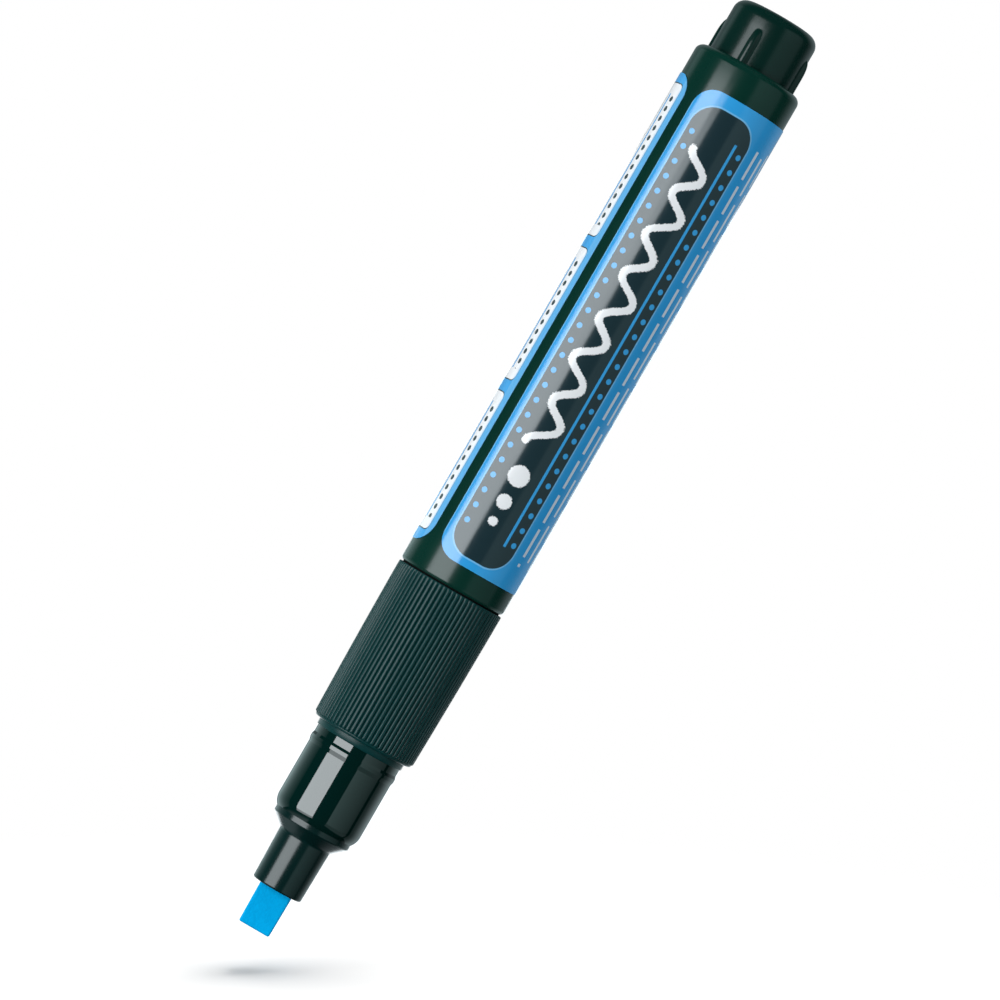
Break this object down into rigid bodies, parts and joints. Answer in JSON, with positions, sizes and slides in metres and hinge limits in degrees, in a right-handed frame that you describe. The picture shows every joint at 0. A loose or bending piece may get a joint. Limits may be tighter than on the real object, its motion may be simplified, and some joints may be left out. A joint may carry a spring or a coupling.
{
  "type": "liquid chalk marker",
  "caption": "Liquid chalk marker with a chisel nib, ribbed grip, wrapped label and a push-button pump at the rear that opens the nib valve.",
  "frame": {"origin": "writing edge of the nib, on the marker's axis", "axes": "+Z along the axis from the nib to the push button, -Y towards the picture's camera, X along the nib's broad way"},
  "size_m": [0.016, 0.016, 0.1414],
  "materials": {
    "nib_felt": "felt soaked with blue ink",
    "holder_plastic": "fine matte",
    "wick_fibre": "bonded fibre",
    "gloss_green": "gloss",
    "matte_green": "matte, ribbed",
    "seal_rubber": "moulded",
    "satin_green": "satin",
    "label_film": "printed film, satin",
    "button_green": "satin gloss",
    "spring_steel": "drawn wire",
    "bellows_rubber": "translucent rubber",
    "inner_plastic": "natural plastic",
    "ball_steel": "polished"
  },
  "bodies": {
    "marker_body": {"nib": "nib_felt", "nib_holder": "holder_plastic", "feed_wick": "wick_fibre", "nose": "gloss_green", "grip_section": "matte_green", "section_seal": "seal_rubber", "barrel": "satin_green", "label_wrap": "label_film", "return_spring": "spring_steel", "pump_bellows": "bellows_rubber", "bellows_ring": "inner_plastic", "pump_seat": "inner_plastic", "valve_cage": "inner_plastic", "valve_seat": "inner_plastic", "valve_spring": "spring_steel"},
    "button": {"push_button": "button_green"},
    "valve": {"valve_plunger": "inner_plastic"},
    "ball": {"mixing_ball": "ball_steel"}
  },
  "joints": [
    {"name": "button_press", "type": "slide", "parent": "marker_body", "child": "button", "axis": [0, 0, -1], "range_m": [0, 0.0035], "stiffness_N_per_m": 800, "springref_m": -0.004, "deforming": ["return_spring", "pump_bellows"]},
    {"name": "valve_open", "type": "slide", "parent": "marker_body", "child": "valve", "axis": [0, 0, -1], "range_m": [0, 0.0008], "deforming": ["valve_spring"]},
    {"name": "ball_travel", "type": "slide", "parent": "marker_body", "child": "ball", "axis": [0, 0, 1], "range_m": [0, 0.05949]}
  ],
  "couplings": [
    {"joint": "valve_open", "follows": "button_press", "ratio": 0.22857}
  ]
}
